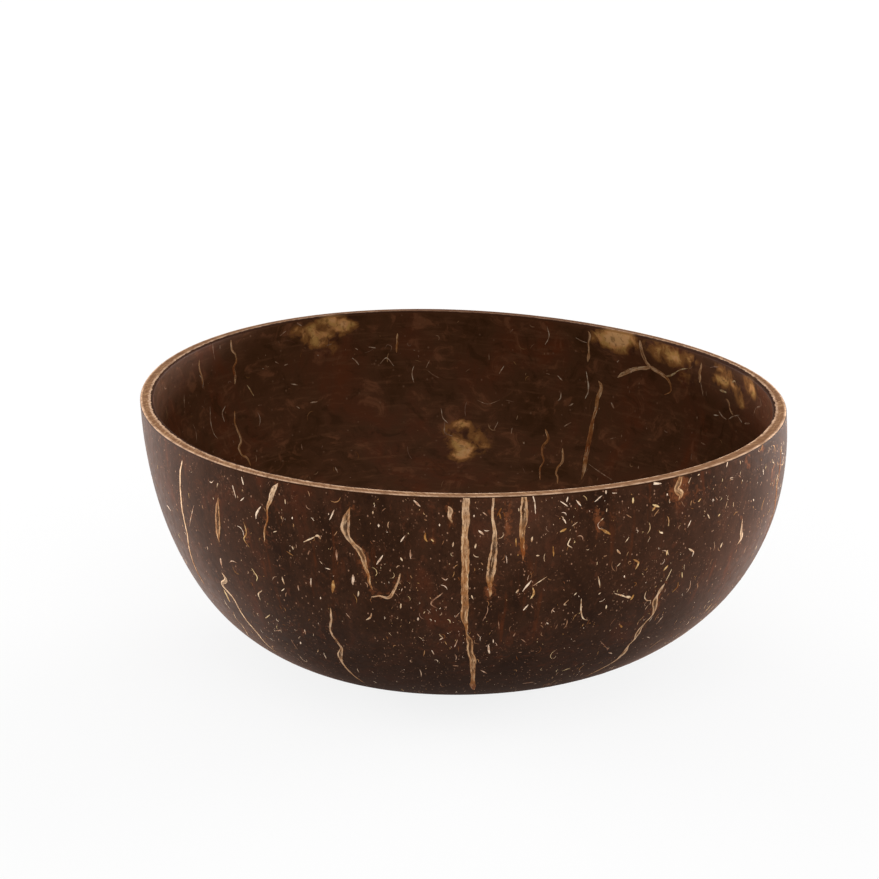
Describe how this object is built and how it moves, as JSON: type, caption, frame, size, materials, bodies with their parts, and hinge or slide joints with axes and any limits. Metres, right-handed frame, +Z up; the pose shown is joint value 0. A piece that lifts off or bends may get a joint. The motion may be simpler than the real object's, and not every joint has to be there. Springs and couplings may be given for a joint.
{
  "type": "coconut shell bowl",
  "caption": "Round open bowl made from half a coconut shell, with a sawn level rim, a flat ground foot and pale fibre strands lying flush in the dark polished wall.",
  "frame": {"origin": "centre of the flat ground foot, on the surface the bowl stands on", "axes": "+Z up out of the bowl's mouth; -Y towards the side that the picture shows"},
  "size_m": [0.1491, 0.144, 0.062],
  "materials": {
    "shell": "polished coconut shell, dark brown with red-brown mottling and pale specks",
    "strands": "coconut fibre, tan to orange, sanded flush",
    "veins": "coconut fibre, tan, sanded flush"
  },
  "bodies": {
    "root": {"shell": "shell", "outer_strands": "strands", "inner_veins": "veins"}
  },
  "joints": []
}
